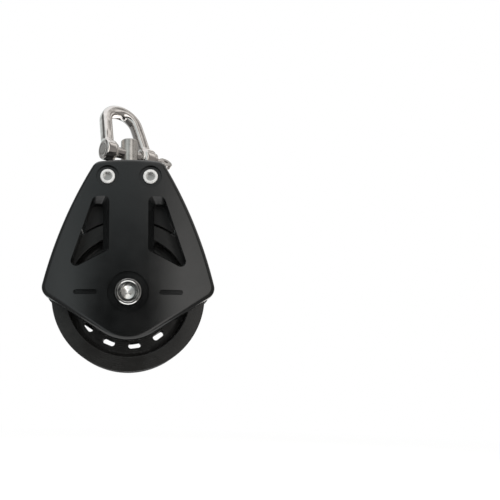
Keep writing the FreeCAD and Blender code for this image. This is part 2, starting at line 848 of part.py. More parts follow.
def is_crown(face):
    """Whether a face is the cheek's crowned outer face."""
    surface = face.Surface
    if surface.TypeId != "Part::GeomCylinder":
        return False
    return abs(surface.Radius - number(s["crown_radius"])) < 0.01


# ---------------------------------------------------------------- head of the block
def make_head_block():
    """The block between the strap heads: it carries the swivel and guards the line's sides."""
    body = new_body("head_block")
    guard_radius = rim_radius + s["line_guard_gap"]
    foot_x = s["head_foot_x"]
    foot_z = root(guard_radius * guard_radius - foot_x * foot_x)
    plate = sketch_on(body, "XZ_Plane", "head_plate")
    outline(plate, [(-foot_x, foot_z, -guard_radius), (foot_x, foot_z),
                    (s["head_top_half_width"], head_top), (-s["head_top_half_width"], head_top)])
    pad(body, plate, inner_y * 2, middle=True)
    tunnel_y = inner_y - s["line_guard_wall"]
    tunnel = sketch_on(body, "XY_Plane", "line_tunnel")
    outline(tunnel, [(0, -tunnel_y), (head_under_radius, -tunnel_y), (head_under_radius, tunnel_y),
                     (0, tunnel_y)])
    revolve(body, tunnel, cut=True)
    bore = sketch_on(body, "XY_Plane", "bush_bore")
    circle(bore, 0, 0, bush_radius)
    pocket(body, bore)
    cavity = sketch_on(body, "XY_Plane", "nut_cavity", nut_cavity_top)
    circle(cavity, 0, 0, s["nut_cavity_radius"])
    pocket(body, cavity, FAR)
    holes = sketch_on(body, "XZ_Plane", "head_screw_holes")
    circle(holes, s["screw_x"], screw_z, head_sleeve_radius + s["fastener_gap"])
    circle(holes, -s["screw_x"], screw_z, head_sleeve_radius + s["fastener_gap"])
    pocket(body, holes)
    return body


def make_head_sleeves():
    """The two sleeves that keep the straps apart round the head screws."""
    body = new_body("head_sleeves")
    rings = sketch_on(body, "XZ_Plane", "head_sleeve_rings")
    for side in (1, -1):
        circle(rings, s["screw_x"] * side, screw_z, head_sleeve_radius)
        circle(rings, s["screw_x"] * side, screw_z, screw_hole)
    pad(body, rings, inner_y * 2, middle=True)
    return body


def make_head_screws():
    """The two cap screws at the head, with hexagon sockets."""
    body = new_body("head_screws")
    heads = sketch_on(body, "XZ_Plane", "screw_heads", screw_seat)
    shanks = sketch_on(body, "XZ_Plane", "screw_shanks", screw_seat)
    sockets = sketch_on(body, "XZ_Plane", "screw_sockets", screw_face_y - s["screw_socket_depth"])
    for side in (1, -1):
        circle(heads, s["screw_x"] * side, screw_z, screw_head_radius)
        circle(shanks, s["screw_x"] * side, screw_z, s["screw_radius"])
        outline(sockets, polygon_points(s["screw_x"] * side, screw_z, s["screw_socket"]))
    pad(body, heads, s["screw_head_height"])
    pad(body, shanks, screw_seat + screw_face_y - s["screw_end_recess"], against=True)
    pocket(body, sockets, FAR, along=True)
    round_edges(body, lambda edge: is_front_rim(edge, screw_face_y, screw_head_radius),
                s["axle_head_recess"])
    return body


def is_front_rim(edge, face, radius):
    """The outer edge of a round head whose face looks forward."""
    if edge.Curve.TypeId != "Part::GeomCircle":
        return False
    on_rim = abs(edge.Curve.Radius - number(radius)) < 0.001
    return on_rim and abs(edge.Curve.Center.y + number(face)) < 0.001


def make_head_nuts():
    """The two round slotted nuts behind the head screws."""
    body = new_body("head_nuts")
    rings = sketch_on(body, "XZ_Plane", "head_nut_rings", -screw_seat)
    places = []
    for side in (1, -1):
        circle(rings, s["screw_x"] * side, screw_z, screw_head_radius)
        circle(rings, s["screw_x"] * side, screw_z, s["screw_radius"])
        places.append((s["screw_x"] * side, screw_z))
    pad(body, rings, s["screw_head_height"], against=True)
    cut_slot(body, "head_nut_slots", places, screw_head_radius + s["fastener_gap"], screw_face_y,
             s["nut_slot_width"], s["nut_slot_depth"])
    return body


# ---------------------------------------------------------------- swivel
def make_bush():
    """The flanged bush that the post turns in."""
    body = new_body("swivel_bush")
    profile = sketch_on(body, "XZ_Plane", "bush_profile")
    outline(profile, [
        (bush_bore, nut_cavity_top), (bush_radius, nut_cavity_top),
        (bush_radius, head_top), (s["bush_flange_radius"], head_top),
        (s["bush_flange_radius"], bush_top), (bush_bore, bush_top)])
    revolve(body, profile)
    return body


def make_thrust_washer():
    """The washer that carries the swivel's load, above the post's nut."""
    body = new_body("thrust_washer")
    ring = sketch_on(body, "XY_Plane", "thrust_ring", washer_foot)
    circle(ring, 0, 0, s["post_nut_radius"])
    circle(ring, 0, 0, bush_bore)
    pad(body, ring, s["thrust_washer_thickness"])
    return body


def make_post():
    """The swivel post, with a cross bore for the shackle's pin."""
    body = new_body("swivel_post")
    profile = sketch_on(body, "XZ_Plane", "post_profile")
    outline(profile, [
        (0, post_nut_foot), (s["post_neck_radius"], post_nut_foot), (s["post_neck_radius"], shoulder_z),
        (s["post_radius"], shoulder_z), (s["post_radius"], post_top),
        (0, post_top)])
    revolve(body, profile)

    def top_rim(edge):
        if edge.Curve.TypeId != "Part::GeomCircle":
            return False
        return abs(edge.Curve.Center.z - number(post_top)) < 0.001

    round_edges(body, top_rim, s["post_top_round"])
    cross = sketch_on(body, "YZ_Plane", "pin_cross_bore")
    circle(cross, 0, pin_z, pin_bore)
    pocket(body, cross)
    lock = sketch_on(body, "YZ_Plane", "lock_pin_hole")
    circle(lock, 0, (post_nut_top + post_nut_foot) / 2, s["post_nut_pin_radius"])
    pocket(body, lock)
    return body


def make_post_nut():
    """The round nut that keeps the post in the head."""
    body = new_body("post_nut")
    ring = sketch_on(body, "XY_Plane", "post_nut_ring", post_nut_foot)
    circle(ring, 0, 0, s["post_nut_radius"])
    circle(ring, 0, 0, s["post_neck_radius"])
    pad(body, ring, s["post_nut_height"])
    lock = sketch_on(body, "YZ_Plane", "nut_lock_hole")
    circle(lock, 0, (post_nut_top + post_nut_foot) / 2, s["post_nut_pin_radius"])
    pocket(body, lock)
    return body


def make_post_nut_pin():
    """The pin through nut and post."""
    body = new_body("post_nut_pin")
    round_bar = sketch_on(body, "YZ_Plane", "lock_pin_bar")
    circle(round_bar, 0, (post_nut_top + post_nut_foot) / 2, s["post_nut_pin_radius"])
    pad(body, round_bar, s["post_nut_radius"] * 2 - s["end_gap"] * 4, middle=True)
    return body


# ---------------------------------------------------------------- shackle, about its pin
def make_bow():
    """The shackle's bow: a rounded square bar bent in a D whose legs draw in, and two eyes."""
    body = new_body("shackle_bow")
    spacing = s["bow_half_spacing"]
    height = s["bow_height"]
    lean = s["bow_taper"] / root(s["bow_taper"] * s["bow_taper"] + 1)
    upright = root(1 - lean * lean)
    bend = (spacing * upright - height * lean) / (1 - lean)
    leg_x = bend * upright
    leg_z = height - bend + bend * lean
    path = sketch_on(body, "XZ_Plane", "bow_path")
    outline(path, [(-spacing, 0), (-leg_x, leg_z, -bend), (0, height, -bend), (leg_x, leg_z),
                   (spacing, 0)], closed=False)
    section = sketch_on(body, "XY_Plane", "bow_section")
    half_in = s["bow_bar_inner"] / 2
    half_out = s["bow_bar_outer"] / 2
    turn = s["bow_bar_round"]
    outline(section, [
        (-spacing + half_in - turn, -half_out, turn), (-spacing + half_in, -half_out + turn),
        (-spacing + half_in, half_out - turn, turn), (-spacing + half_in - turn, half_out),
        (-spacing - half_in + turn, half_out, turn), (-spacing - half_in, half_out - turn),
        (-spacing - half_in, -half_out + turn, turn), (-spacing - half_in + turn, -half_out)])
    bar = body.newObject("PartDesign::AdditivePipe", "bow_bar")
    bar.Profile = section
    bar.Spine = path
    body.Tip = bar
    doc.recompute()

    turn = s["eye_round"]
    rim = s["eye_radius"]
    for name, inner, outer in (("right_eye", eye_inner_x, eye_face_x),
                               ("left_eye", -eye_face_x, -eye_inner_x)):
        eye = sketch_on(body, "XY_Plane", name)
        outline(eye, [(inner, 0), (outer, 0), (outer, rim - turn, turn), (outer - turn, rim),
                      (inner + turn, rim, turn), (inner, rim - turn)])
        revolve(body, eye, "H_Axis")
    for side in (1, -1):
        boss = sketch_on(body, "YZ_Plane", "left_boss" if side < 0 else "right_boss",
                         (eye_inner_x - s["eye_boss_height"]) * side)
        circle(boss, 0, 0, s["eye_boss_radius"])
        pad(body, boss, s["eye_boss_height"] + s["eye_round"], against=side < 0)
    bore = sketch_on(body, "YZ_Plane", "free_eye_bore")
    circle(bore, 0, 0, pin_bore)
    pocket(body, bore, FAR, along=True)
    thread = sketch_on(body, "YZ_Plane", "threaded_eye_bore")
    circle(thread, 0, 0, s["pin_radius"])
    pocket(body, thread, FAR)
    return body


def make_pin():
    """The shackle's pin: threaded end, collar, neck and a flat tab with a hole."""
    body = new_body("shackle_pin")
    collar_x = eye_face_x + s["pin_collar_gap"]
    neck_x = collar_x + s["pin_collar"]
    tab_x = s["pin_tab_distance"]
    profile = sketch_on(body, "XY_Plane", "pin_profile")
    outline(profile, [
        (-eye_face_x, 0), (-eye_face_x, s["pin_radius"]), (collar_x, s["pin_radius"]),
        (collar_x, s["pin_collar_radius"]), (neck_x, s["pin_collar_radius"]),
        (neck_x, s["pin_neck_radius"]), (tab_x - s["pin_tab_radius"] / 2, s["pin_neck_radius"]),
        (tab_x - s["pin_tab_radius"] / 2, 0)])
    revolve(body, profile, "H_Axis")
    tab = sketch_on(body, "XZ_Plane", "pin_tab")
    circle(tab, tab_x, 0, s["pin_tab_radius"])
    pad(body, tab, s["pin_tab_thickness"], middle=True)

    def tab_rim(edge):
        if edge.Curve.TypeId != "Part::GeomCircle":
            return False
        return abs(edge.Curve.Radius - number(s["pin_tab_radius"])) < 0.001

    round_edges(body, tab_rim, s["rim_round"])
    hole = sketch_on(body, "XZ_Plane", "pin_tab_hole")
    circle(hole, tab_x, 0, s["pin_tab_hole_radius"])
    pocket(body, hole)
    return body


def place_swivel(bodies):
    """Turn what swivels about the block's own upright axis."""
    for body in bodies:
        body.Placement = Placement(Vector(0, 0, 0), Rotation(Vector(0, 0, 1), number(s["swivel_angle"])))


def place_shackle(bow, pin):
    """Put the shackle on the post: turned with it, slid along its pin and leaning back about it."""
    turn = Rotation(Vector(0, 0, 1), number(s["swivel_angle"]))
    spot = turn.multVec(Vector(number(s["shackle_slide"]), 0, 0)) + Vector(0, 0, number(pin_z))
    lean = Rotation(Vector(1, 0, 0), -number(s["lean_angle"]))
    bow.Placement = Placement(spot, turn.multiply(lean))
    tab_lean = Rotation(Vector(1, 0, 0), -number(s["lean_angle"] + s["pin_tab_turn"]))
    pin.Placement = Placement(spot, turn.multiply(tab_lean))


# ---------------------------------------------------------------- build, check, write
def build():
    """Make every piece and return them in the order that they are fitted."""
    sheave = make_sheave()
    front_cover = make_ball_cover()
    front_balls = make_balls()
    front_strap = make_strap()
    front_cheek = make_cheek()
    bow = make_bow()
    pin = make_pin()
    post = make_post()
    post_nut = make_post_nut()
    nut_pin = make_post_nut_pin()
    place_swivel([post, post_nut, nut_pin])
    place_shackle(bow, pin)
    return [
        bow, pin, post, post_nut, nut_pin, make_bush(), make_thrust_washer(), make_head_block(),
        make_head_sleeves(), make_head_screws(), make_head_nuts(),
        front_cheek, mirrored(front_cheek, "back_cheek"), front_strap, mirrored(front_strap, "back_strap"),
        make_axle_sleeve(), make_axle_bolt(), make_axle_nut(), make_axle_washers(), make_inner_race(),
        sheave, front_cover, mirrored(front_cover, "back_ball_cover"), make_cover_screws(),
        front_balls, mirrored(front_balls, "back_balls")]


def check(pieces):
    """Stop if any object of the document failed or any piece has no valid shape."""
    for thing in doc.Objects:
        if "Invalid" in thing.State or "Error" in thing.State:
            raise RuntimeError(f"{thing.Name} failed: {thing.State}")
    for piece in pieces:
        if piece.Shape.isNull() or not piece.Shape.isValid():
            raise RuntimeError(f"{piece.Label} has no valid shape")


def write(pieces):
    """Write each piece to its own STEP file."""
    os.makedirs("parts", exist_ok=True)
    for piece in pieces:
        piece.Shape.exportStep(f"parts/{piece.Label}.step")
        print(f"{piece.Label:18s} {len(piece.Shape.Solids):3d} solids {piece.Shape.Volume:10.1f} mm3")


all_pieces = build()
doc.recompute()
check(all_pieces)
write(all_pieces)
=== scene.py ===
"""Single sheave block with a swivel shackle: the finishes, the finer shapes and the stage.

The frame holds every machined and moulded piece at its real size, in metres. The origin is
the centre of the sheave, +Y runs along the axle to the back cheek and +Z up to the swivel.
"""
import math

import bpy
from bpy.props import FloatProperty, FloatVectorProperty, IntProperty, PointerProperty
from mathutils import Matrix, Vector


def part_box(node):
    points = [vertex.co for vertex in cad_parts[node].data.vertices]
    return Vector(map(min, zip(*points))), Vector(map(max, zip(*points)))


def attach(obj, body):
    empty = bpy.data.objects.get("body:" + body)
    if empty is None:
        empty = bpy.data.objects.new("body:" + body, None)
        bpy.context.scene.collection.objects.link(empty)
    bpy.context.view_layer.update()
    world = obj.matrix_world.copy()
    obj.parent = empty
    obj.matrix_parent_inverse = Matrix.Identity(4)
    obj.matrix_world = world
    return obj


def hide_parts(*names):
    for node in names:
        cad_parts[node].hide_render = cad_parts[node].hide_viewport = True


bl_info = {
    "name": "Single Sheave Block",
    "version": (1, 0, 0),
    "blender": (4, 5, 0),
    "location": "3D View > Sidebar > Sheave Block",
    "description": "Finishes a single sheave block with a swivel shackle and sets its stage",
    "category": "Add Mesh",
}

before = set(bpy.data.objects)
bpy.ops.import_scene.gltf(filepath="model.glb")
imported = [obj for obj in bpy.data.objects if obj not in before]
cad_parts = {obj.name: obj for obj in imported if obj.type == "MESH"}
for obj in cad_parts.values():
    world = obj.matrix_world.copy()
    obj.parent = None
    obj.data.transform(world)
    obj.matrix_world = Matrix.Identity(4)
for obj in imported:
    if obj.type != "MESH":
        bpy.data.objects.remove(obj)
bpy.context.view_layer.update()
MM = 0.001
CROWN_REACH = 42 * MM  # from the axle to where a face has fallen by its whole crown
FORGED_VOXEL = 0.24 * MM
SHADED_DISH_SHARE = 0.66  # radius of the painted shade on a screw end, a darker disc, as a share of its radius
FLAT_FACE_METAL = 0.55  # less than full metal, so that small flat ends stay bright
ROOM_TOP = math.radians(64)  # where the room's wall ends, seen from its middle
ROOM_NEAR, ROOM_MIDDLE = 0.12, 0.5  # rings of the room's floor, in room radii
ROOM_LOW, ROOM_HIGH = 0.21, 0.56  # heights between which its light changes, in room radii
FLOOR_HALF = 3.0


# ------------------------------------------------------------------ settings
class BlockColours(bpy.types.PropertyGroup):
    """Base colours of the block's materials."""

    cheek: FloatVectorProperty(
        name="Cheeks", description="Black nylon of the two cheeks", subtype="COLOR",
        size=4, min=0, max=1, default=(0.0064, 0.0070, 0.0072, 1))
    head: FloatVectorProperty(
        name="Head Block", description="Black nylon of the head block", subtype="COLOR",
        size=4, min=0, max=1, default=(0.0075, 0.0078, 0.0081, 1))
    sheave: FloatVectorProperty(
        name="Sheave", description="Black acetal of the sheave", subtype="COLOR",
        size=4, min=0, max=1, default=(0.0135, 0.0137, 0.0133, 1))
    cover: FloatVectorProperty(
        name="Ball Covers", description="Black acetal of the ball covers", subtype="COLOR",
        size=4, min=0, max=1, default=(0.0085, 0.0085, 0.0090, 1))
    ball: FloatVectorProperty(
        name="Balls", description="White acetal of the balls", subtype="COLOR",
        size=4, min=0, max=1, default=(0.80, 0.78, 0.72, 1))
    bush: FloatVectorProperty(
        name="Bush", description="Natural acetal of the swivel bush", subtype="COLOR",
        size=4, min=0, max=1, default=(0.62, 0.60, 0.55, 1))
    polished: FloatVectorProperty(
        name="Polished Steel", description="Polished stainless of the shackle", subtype="COLOR",
        size=4, min=0, max=1, default=(0.77, 0.738, 0.715, 1))
    satin: FloatVectorProperty(
        name="Satin Steel", description="Satin stainless of the swivel post", subtype="COLOR",
        size=4, min=0, max=1, default=(0.57, 0.55, 0.525, 1))
    bright: FloatVectorProperty(
        name="Bright Steel", description="Bright stainless of the screws", subtype="COLOR",
        size=4, min=0, max=1, default=(0.86, 0.855, 0.84, 1))
    rolled: FloatVectorProperty(
        name="Rolled Steel", description="Rolled stainless of the straps", subtype="COLOR",
        size=4, min=0, max=1, default=(0.60, 0.60, 0.60, 1))
    alloy: FloatVectorProperty(
        name="Race Alloy", description="Hard anodised alloy of the inner race", subtype="COLOR",
        size=4, min=0, max=1, default=(0.30, 0.31, 0.33, 1))


class BlockFinish(bpy.types.PropertyGroup):
    """Sizes and strengths of the surface detail."""

    grain: FloatProperty(
        name="Moulded Grain", description="Size of the grain on the moulded plastic",
        subtype="DISTANCE", unit="LENGTH", min=0.00005, max=0.005, default=0.00035)
    mottle: FloatProperty(
        name="Mottle", description="Size of the soft patches in the plastic's gloss",
        subtype="DISTANCE", unit="LENGTH", min=0.001, max=0.1, default=0.012)
    turning: FloatProperty(
        name="Turning Marks", description="Spacing of the lathe marks on turned faces",
        subtype="DISTANCE", unit="LENGTH", min=0.00005, max=0.002, default=0.00022)
    cheek_gloss: FloatProperty(
        name="Cheek Roughness", description="Roughness of the cheeks", subtype="FACTOR",
        min=0, max=1, default=0.18)
    steel_gloss: FloatProperty(
        name="Polish Roughness", description="Roughness of the polished shackle",
        subtype="FACTOR", min=0, max=1, default=0.085)
    cheek_crown: FloatProperty(
        name="Cheek Crown", description="How far a cheek's face falls away from its middle",
        subtype="DISTANCE", unit="LENGTH", min=0, max=0.004, default=0.0015)
    forge_round: IntProperty(
        name="Forging Rounds", description="Smoothing passes that soften the forged bow's edges",
        min=0, max=100, default=48)


class StageSettings(bpy.types.PropertyGroup):
    """Camera, lamps and floor."""

    distance: FloatProperty(
        name="Camera Distance", description="From the sheave's centre to the camera",
        subtype="DISTANCE", unit="LENGTH", min=0.05, max=5, default=0.295)
    azimuth: FloatProperty(
        name="Camera Azimuth", description="Camera's turn round the block from straight ahead",
        subtype="ANGLE", unit="ROTATION", default=math.radians(0.0))
    elevation: FloatProperty(
        name="Camera Elevation", description="Camera's angle above the sheave's centre",
        subtype="ANGLE", unit="ROTATION", default=math.radians(-8.9))
    roll: FloatProperty(
        name="Camera Roll", description="Camera's turn about its own line of sight",
        subtype="ANGLE", unit="ROTATION", default=math.radians(0.515))
    lens: FloatProperty(
        name="Lens", description="Focal length on a 36 mm wide sensor",
        unit="CAMERA", min=10, max=300, default=42.19)
    shift: FloatVectorProperty(
        name="Shift", description="Where the block stands in the frame, in frame widths",
        size=2, min=-0.5, max=0.5, default=(0.2440, 0.095))
    floor_drop: FloatProperty(
        name="Floor Drop", description="From the sheave's centre down to the floor",
        subtype="DISTANCE", unit="LENGTH", min=0.04, max=1, default=0.135)
    floor_glow: FloatProperty(
        name="Floor Glow", description="Whiteness that the camera sees in the floor", min=0, max=1,
        default=0.42)
    room_radius: FloatProperty(
        name="Room Radius", description="Radius of the wall that reflections see",
        subtype="DISTANCE", unit="LENGTH", min=0.4, max=3, default=1.2)
    room_strength: FloatProperty(
        name="Room Strength", description="Brightness of that wall", min=0, max=4, default=1.0)
    world_strength: FloatProperty(
        name="Sky Strength", description="Light from all round", min=0, max=2, default=0.55)
    key_power: FloatProperty(
        name="Key Power", description="Power of the large lamp on the upper left",
        subtype="POWER", unit="POWER", min=0, max=100, default=2.2)
    strip_power: FloatProperty(
        name="Strip Power", description="Power of the tall strip lamp on the left",
        subtype="POWER", unit="POWER", min=0, max=100, default=0.9)
    fill_power: FloatProperty(
        name="Fill Power", description="Power of the broad lamp on the right",
        subtype="POWER", unit="POWER", min=0, max=100, default=1.0)


# ------------------------------------------------------------------ node helpers
class Graph:
    """A material's node tree, with short ways to add and join nodes."""

    def __init__(self, name):
        self.material = bpy.data.materials.new(name)
        self.material.use_nodes = True
        self.tree = self.material.node_tree
        self.tree.nodes.clear()

    def add(self, kind, inputs=None, **settings):
        """Add a node, set its properties, and set or join its inputs by name or place."""
        made = self.tree.nodes.new("ShaderNode" + kind)
        for key, value in settings.items():
            setattr(made, key, value)
        for key, value in (inputs or {}).items():
            if isinstance(value, bpy.types.NodeSocket):
                self.tree.links.new(value, made.inputs[key])
            else:
                made.inputs[key].default_value = value
        return made

    def maths(self, operation, *values):
        """The result of one sum on sockets or numbers."""
        return self.add("Math", dict(enumerate(values)), operation=operation).outputs[0]

    def position(self):
        """The point on the piece, in the frame's own metres."""
        return self.add("TexCoord").outputs["Object"]

    def noise(self, vector, size, detail=2.0, roughness=0.5, distortion=0.0):
        """A soft noise whose patches are about as large as size."""
        made = self.add("TexNoise", {
            "Vector": vector, "Scale": 1 / size, "Detail": detail, "Roughness": roughness,
            "Distortion": distortion})
        return made.outputs["Fac"]

    def stretched(self, vector, scale):
        """The point scaled along each axis, so that a noise on it is drawn out."""
        made = self.add("Mapping", {"Vector": vector, "Scale": scale}, vector_type="POINT")
        return made.outputs["Vector"]

    def spread(self, value, low, high, start=0.3, end=0.7):
        """A noise's middle range spread from low to high."""
        made = self.add("MapRange", {
            "Value": value, "From Min": start, "From Max": end, "To Min": low, "To Max": high})
        return made.outputs["Result"]

    def blend(self, factor, first, second):
        """Two colours mixed by a factor."""
        made = self.add("Mix", data_type="RGBA")
        colours = [socket for socket in made.inputs if socket.type == "RGBA"]
        for socket, value in zip(colours, (first, second)):
            if isinstance(value, bpy.types.NodeSocket):
                self.tree.links.new(value, socket)
            else:
                socket.default_value = value
        self.tree.links.new(factor, made.inputs[0])
        return next(socket for socket in made.outputs if socket.type == "RGBA")

    def bump(self, height, strength, distance, normal=None):
        """A bump in metres, on top of another one."""
        inputs = {"Height": height, "Strength": strength, "Distance": distance}
        if normal is not None:
            inputs["Normal"] = normal
        return self.add("Bump", inputs).outputs["Normal"]

    def radius(self, vector, offset_x=0.0, offset_z=0.0, mirror=False):
        """Distance from an axis along Y, at an offset that may hold for both sides."""
        parts = self.add("SeparateXYZ", {0: vector})
        across = parts.outputs["X"]
        if mirror:
            across = self.maths("ABSOLUTE", across)
        across = self.maths("SUBTRACT", across, offset_x)
        along = self.maths("SUBTRACT", parts.outputs["Z"], offset_z)
        flat = self.add("CombineXYZ", {"X": across, "Y": along})
        return self.add("VectorMath", {0: flat.outputs[0]}, operation="LENGTH").outputs["Value"]

    def finish(self, shader):
        """Join the shader to the material's output."""
        output = self.add("OutputMaterial")
        self.tree.links.new(shader, output.inputs["Surface"])
        return self.material


def shifted(colour, factor):
    """A colour made lighter or darker."""
    return tuple(min(1.0, part * factor) for part in colour[:3]) + (1.0,)


def moulded_plastic(name, colour, roughness, gloss_level, finish, rings=0.0, crown=0.0):
    """Injection-moulded black plastic: fine grain, soft gloss patches and faint flow marks.

    The crown is how far a broad face falls away, in metres, at one reach from the axle.
    """
    graph = Graph(name)
    spot = graph.position()
    grain = graph.noise(spot, finish.grain, 3.0, 0.6)
    patches = graph.noise(spot, finish.mottle, 3.0, 0.55)
    flow = graph.noise(graph.stretched(spot, (1.0, 1.0, 0.25)), finish.mottle * 2.2, 2.0, 0.5, 1.2)
    tint = graph.blend(graph.spread(patches, 0.0, 1.0), shifted(colour, 0.82),
                       shifted(colour, 1.2))
    tint = graph.blend(graph.spread(flow, 0.0, 0.5), tint,
                       (colour[0] * 1.15, colour[1] * 1.05, colour[2], 1))
    rough = graph.spread(patches, roughness - 0.04, roughness + 0.05)
    rough = graph.maths("ADD", rough, graph.spread(grain, -0.02, 0.02))
    normal = graph.bump(grain, 0.22, 0.00006)
    if crown:
        out = graph.maths("MULTIPLY", graph.radius(spot), 1 / CROWN_REACH)
        fall = graph.maths("MULTIPLY", graph.maths("POWER", out, 2.0), -1.0)
        normal = graph.bump(fall, 1.0, crown, normal)
    if rings:
        ring = graph.maths("MULTIPLY", graph.radius(spot), 1 / finish.turning / 2)
        wave = graph.noise(graph.add("CombineXYZ", {"X": ring}).outputs[0], 1.0, 2.0)
        normal = graph.bump(wave, rings, 0.00005, normal)
        rough = graph.maths("ADD", rough, graph.spread(wave, -0.03, 0.04))
    shader = graph.add("BsdfPrincipled", {
        "Base Color": tint, "Roughness": rough, "Normal": normal, "IOR": 1.5,
        "Specular IOR Level": gloss_level})
    return graph.finish(shader.outputs["BSDF"])


def polished_steel(name, colour, roughness):
    """Polished forged stainless: soft forging waves, fine polishing lines and slight bloom."""
    graph = Graph(name)
    spot = graph.position()
    waves = graph.noise(spot, 0.0075, 1.0, 0.4, 0.3)
    ripple = graph.noise(spot, 0.0016, 2.0, 0.5)
    lines = graph.noise(graph.stretched(spot, (1.0, 1.0, 0.12)), 0.00018, 3.0, 0.6)
    bloom = graph.noise(spot, 0.0045, 3.0, 0.6)
    tint = graph.blend(graph.spread(bloom, 0.0, 1.0), shifted(colour, 0.88), shifted(colour, 1.06))
    rough = graph.spread(bloom, roughness - 0.03, roughness + 0.06)
    rough = graph.maths("ADD", rough, graph.spread(lines, -0.02, 0.03))
    normal = graph.bump(waves, 0.35, 0.0009)
    normal = graph.bump(ripple, 0.08, 0.00008, normal)
    normal = graph.bump(lines, 0.06, 0.00002, normal)
    shader = graph.add("BsdfPrincipled", {
        "Base Color": tint, "Metallic": 1.0, "Roughness": rough, "Normal": normal})
    return graph.finish(shader.outputs["BSDF"])


def satin_steel(name, colour, roughness, finish):
    """Satin stainless turned about Z: fine level turning marks and a cloudy bloom."""
    graph = Graph(name)
    spot = graph.position()
    marks = graph.noise(graph.stretched(spot, (0.08, 0.08, 1.0)), finish.turning * 0.6, 3.0, 0.65)
    cloud = graph.noise(spot, 0.0028, 4.0, 0.6)
    speck = graph.noise(spot, 0.0004, 2.0, 0.6)
    tint = graph.blend(graph.spread(cloud, 0.0, 1.0), shifted(colour, 0.84), shifted(colour, 1.12))
    rough = graph.spread(cloud, roughness - 0.05, roughness + 0.06)
    rough = graph.maths("ADD", rough, graph.spread(marks, -0.05, 0.07))
    normal = graph.bump(marks, 0.16, 0.00005)
    normal = graph.bump(speck, 0.12, 0.00005, normal)
    shader = graph.add("BsdfPrincipled", {
        "Base Color": tint, "Metallic": 1.0, "Roughness": rough, "Normal": normal})
    return graph.finish(shader.outputs["BSDF"])


def turned_steel(name, colour, roughness, finish, offset_x=0.0, offset_z=0.0, shaded_dish=0.0,
                 metal=1.0):
    """Bright stainless turned about its own line: faint rings, small dents and painted shade, a
    darker disc in the middle of its end.
    """
    graph = Graph(name)
    spot = graph.position()
    reach = graph.radius(spot, offset_x, offset_z, mirror=offset_x > 0)
    ring = graph.maths("MULTIPLY", reach, 1 / finish.turning)
    wave = graph.noise(graph.add("CombineXYZ", {"X": ring}).outputs[0], 1.0, 2.0)
    cloud = graph.noise(spot, 0.0022, 3.0, 0.6)
    dents = graph.noise(spot, 0.0011, 2.0, 0.5)
    tint = graph.blend(graph.spread(cloud, 0.0, 1.0), shifted(colour, 0.86), shifted(colour, 1.08))
    rough = graph.spread(cloud, roughness - 0.04, roughness + 0.05)
    rough = graph.maths("ADD", rough, graph.spread(wave, -0.04, 0.05))
    if shaded_dish:
        # Painted shade: inside the dish radius the steel's colour is darkened to 0.74 of itself;
        # outside it the steel is rougher.
        past_shaded_dish = graph.spread(reach, 0.0, 1.0, shaded_dish * 0.94, shaded_dish * 1.06)
        tint = graph.blend(past_shaded_dish, shifted(colour, 0.74), tint)
        rough = graph.maths("ADD", rough, graph.spread(past_shaded_dish, 0.0, 0.22, 0.0, 1.0))
    normal = graph.bump(wave, 0.14, 0.00004)
    normal = graph.bump(dents, 0.16, 0.00012, normal)
    shader = graph.add("BsdfPrincipled", {
        "Base Color": tint, "Metallic": metal, "Roughness": rough, "Normal": normal})
    return graph.finish(shader.outputs["BSDF"])


def rolled_steel(name, colour, roughness, finish):
    """Cold-rolled strip: long fine lines along Z and small scuffs."""
    graph = Graph(name)
    spot = graph.position()
    lines = graph.noise(graph.stretched(spot, (1.0, 1.0, 0.05)), finish.turning, 3.0, 0.6)
    scuff = graph.noise(spot, 0.004, 4.0, 0.65)
    tint = graph.blend(graph.spread(scuff, 0.0, 1.0), shifted(colour, 0.85), shifted(colour, 1.1))
    rough = graph.spread(lines, roughness - 0.06, roughness + 0.08)
    rough = graph.maths("ADD", rough, graph.spread(scuff, -0.03, 0.05))
    normal = graph.bump(lines, 0.14, 0.00004)
    shader = graph.add("BsdfPrincipled", {
        "Base Color": tint, "Metallic": 1.0, "Roughness": rough, "Normal": normal})
    return graph.finish(shader.outputs["BSDF"])


def acetal(name, colour, roughness, finish):
    """White or natural acetal: slightly waxy, with faint grain."""
    graph = Graph(name)
    spot = graph.position()
    cloud = graph.noise(spot, 0.003, 3.0, 0.55)
    grain = graph.noise(spot, finish.grain, 2.0, 0.6)
    tint = graph.blend(graph.spread(cloud, 0.0, 1.0), shifted(colour, 0.94), shifted(colour, 1.04))
    rough = graph.spread(cloud, roughness - 0.04, roughness + 0.05)
    normal = graph.bump(grain, 0.08, 0.00003)
    shader = graph.add("BsdfPrincipled", {
        "Base Color": tint, "Roughness": rough, "Normal": normal, "IOR": 1.48,
        "Subsurface Weight": 0.12, "Subsurface Radius": (1.0, 0.9, 0.7),
        "Subsurface Scale": 0.0008})
    return graph.finish(shader.outputs["BSDF"])


def hard_anodised(name, colour, roughness, finish):
    """Hard anodised alloy: dull grey with turning marks under the film."""
    graph = Graph(name)
    spot = graph.position()
    marks = graph.noise(graph.stretched(spot, (0.1, 1.0, 0.1)), finish.turning, 3.0, 0.6)
    cloud = graph.noise(spot, 0.003, 3.0, 0.6)
    tint = graph.blend(graph.spread(cloud, 0.0, 1.0), shifted(colour, 0.88), shifted(colour, 1.1))
    rough = graph.maths("ADD", graph.spread(cloud, roughness - 0.04, roughness + 0.04),
                        graph.spread(marks, -0.05, 0.06))
    normal = graph.bump(marks, 0.15, 0.00004)
    shader = graph.add("BsdfPrincipled", {
        "Base Color": tint, "Metallic": 0.8, "Roughness": rough, "Normal": normal})
    return graph.finish(shader.outputs["BSDF"])


# ------------------------------------------------------------------ piece helpers
def dress(material, *nodes):
    """Give frame nodes a material in every one of their slots."""
    for name in nodes:
        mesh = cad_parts[name].data
        mesh.materials.clear()
        mesh.materials.append(material)


